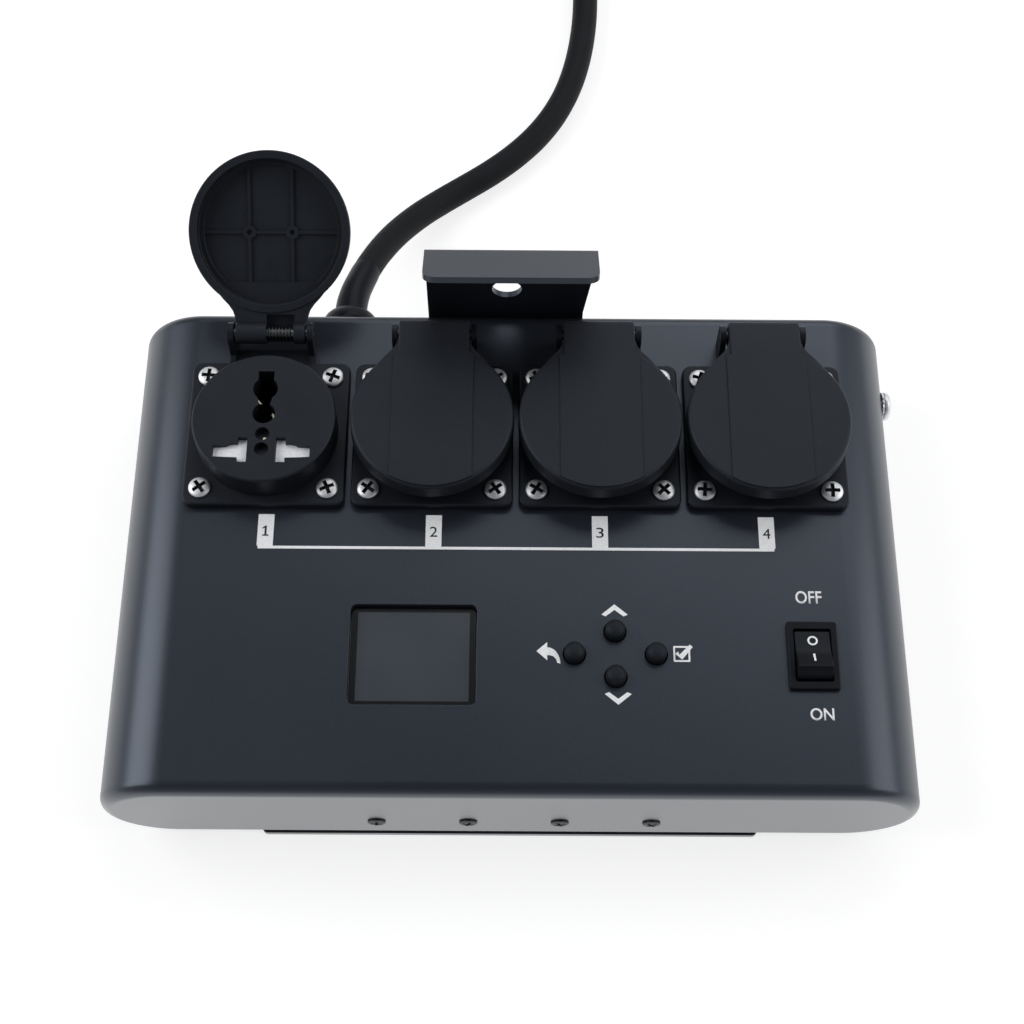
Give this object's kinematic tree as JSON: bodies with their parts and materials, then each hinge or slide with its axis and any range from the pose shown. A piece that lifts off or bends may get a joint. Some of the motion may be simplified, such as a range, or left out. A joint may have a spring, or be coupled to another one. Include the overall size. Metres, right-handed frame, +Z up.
{
  "type": "stage lighting dimmer pack",
  "caption": "Flat black dimmer pack with lidded mains outlets, a small display, keys, a rocker switch, a hanging bracket and a mains cord.",
  "frame": {"origin": "centre of the base plate's underside", "axes": "+X to the right seen from the front, +Y to the rear, +Z up"},
  "size_m": [0.2543, 0.4865, 0.0874],
  "materials": {
    "black_coat": "satin powder coat",
    "black_plastic": "fine moulded",
    "black_rubber": "matte",
    "bright_steel": "plated",
    "black_steel": "blackened",
    "white_plastic": "moulded",
    "display_glass": "polished, smoked",
    "board_green": "lacquered board",
    "bare_aluminium": "milled",
    "choke_brown": "lacquered"
  },
  "bodies": {
    "case": {"body_shell": "black_coat", "front_plate": "black_coat", "rear_plate": "black_coat", "hanging_bracket": "black_coat", "display_lens": "display_glass", "display_module": "black_steel", "control_board": "board_green", "switch_housing": "black_plastic", "cord_gland": "black_plastic", "mains_cord": "black_rubber", "cord_coil": "black_rubber", "cord_tail": "black_rubber", "mains_plug": "black_rubber", "dmx_in": "black_plastic", "dmx_out": "black_plastic", "earth_screw": "bright_steel", "main_board": "board_green", "triac_bar": "bare_aluminium", "filter_choke": "choke_brown", "front_screw_1": "black_steel", "front_screw_2": "black_steel", "front_screw_3": "black_steel", "front_screw_4": "black_steel", "socket_1": "black_plastic", "lid_pin_1": "bright_steel", "socket_1_screw_1": "bright_steel", "socket_1_screw_2": "bright_steel", "socket_1_screw_3": "bright_steel", "socket_1_screw_4": "bright_steel", "socket_2": "black_plastic", "lid_pin_2": "bright_steel", "socket_2_screw_1": "bright_steel", "socket_2_screw_2": "bright_steel", "socket_2_screw_3": "bright_steel", "socket_2_screw_4": "bright_steel", "socket_3": "black_plastic", "lid_pin_3": "bright_steel", "socket_3_screw_1": "bright_steel", "socket_3_screw_2": "bright_steel", "socket_3_screw_3": "bright_steel", "socket_3_screw_4": "bright_steel", "socket_4": "black_plastic", "lid_pin_4": "bright_steel", "socket_4_screw_1": "bright_steel", "socket_4_screw_2": "bright_steel", "socket_4_screw_3": "bright_steel", "socket_4_screw_4": "bright_steel"},
    "lid_1_body": {"lid_1": "black_plastic"},
    "lid_2_body": {"lid_2": "black_plastic"},
    "lid_3_body": {"lid_3": "black_plastic"},
    "lid_4_body": {"lid_4": "black_plastic"},
    "shutter_1_body": {"shutter_1": "white_plastic"},
    "shutter_2_body": {"shutter_2": "white_plastic"},
    "shutter_3_body": {"shutter_3": "white_plastic"},
    "shutter_4_body": {"shutter_4": "white_plastic"},
    "key_up": {"button_up": "black_rubber"},
    "key_down": {"button_down": "black_rubber"},
    "key_back": {"button_back": "black_rubber"},
    "key_confirm": {"button_confirm": "black_rubber"},
    "rocker": {"switch_rocker": "black_plastic"}
  },
  "joints": [
    {"name": "lid_1_hinge", "type": "hinge", "parent": "case", "child": "lid_1_body", "pos_m": [-0.0765, 0.0664, 0.054], "axis": [-1, 0, 0], "range_deg": [-145, 0]},
    {"name": "lid_2_hinge", "type": "hinge", "parent": "case", "child": "lid_2_body", "pos_m": [-0.0247, 0.0664, 0.054], "axis": [-1, 0, 0], "range_deg": [0, 77]},
    {"name": "lid_3_hinge", "type": "hinge", "parent": "case", "child": "lid_3_body", "pos_m": [0.0271, 0.0664, 0.054], "axis": [-1, 0, 0], "range_deg": [0, 77]},
    {"name": "lid_4_hinge", "type": "hinge", "parent": "case", "child": "lid_4_body", "pos_m": [0.0789, 0.0664, 0.054], "axis": [-1, 0, 0], "range_deg": [0, 145]},
    {"name": "shutter_1_slide", "type": "slide", "parent": "case", "child": "shutter_1_body", "axis": [0, 1, 0], "range_m": [0, 0.0096], "stiffness_N_per_m": 60, "springref_m": -0.002},
    {"name": "shutter_2_slide", "type": "slide", "parent": "case", "child": "shutter_2_body", "axis": [0, 1, 0], "range_m": [0, 0.0096], "stiffness_N_per_m": 60, "springref_m": -0.002},
    {"name": "shutter_3_slide", "type": "slide", "parent": "case", "child": "shutter_3_body", "axis": [0, 1, 0], "range_m": [0, 0.0096], "stiffness_N_per_m": 60, "springref_m": -0.002},
    {"name": "shutter_4_slide", "type": "slide", "parent": "case", "child": "shutter_4_body", "axis": [0, 1, 0], "range_m": [0, 0.0096], "stiffness_N_per_m": 60, "springref_m": -0.002},
    {"name": "key_up_press", "type": "slide", "parent": "case", "child": "key_up", "axis": [0, 0, -1], "range_m": [0, 0.001], "stiffness_N_per_m": 400, "springref_m": -0.0005},
    {"name": "key_down_press", "type": "slide", "parent": "case", "child": "key_down", "axis": [0, 0, -1], "range_m": [0, 0.001], "stiffness_N_per_m": 400, "springref_m": -0.0005},
    {"name": "key_back_press", "type": "slide", "parent": "case", "child": "key_back", "axis": [0, 0, -1], "range_m": [0, 0.001], "stiffness_N_per_m": 400, "springref_m": -0.0005},
    {"name": "key_confirm_press", "type": "slide", "parent": "case", "child": "key_confirm", "axis": [0, 0, -1], "range_m": [0, 0.001], "stiffness_N_per_m": 400, "springref_m": -0.0005},
    {"name": "rocker_tip", "type": "hinge", "parent": "case", "child": "rocker", "pos_m": [0.0894, -0.0377, 0.0427], "axis": [1, 0, 0], "range_deg": [0, 35]}
  ]
}
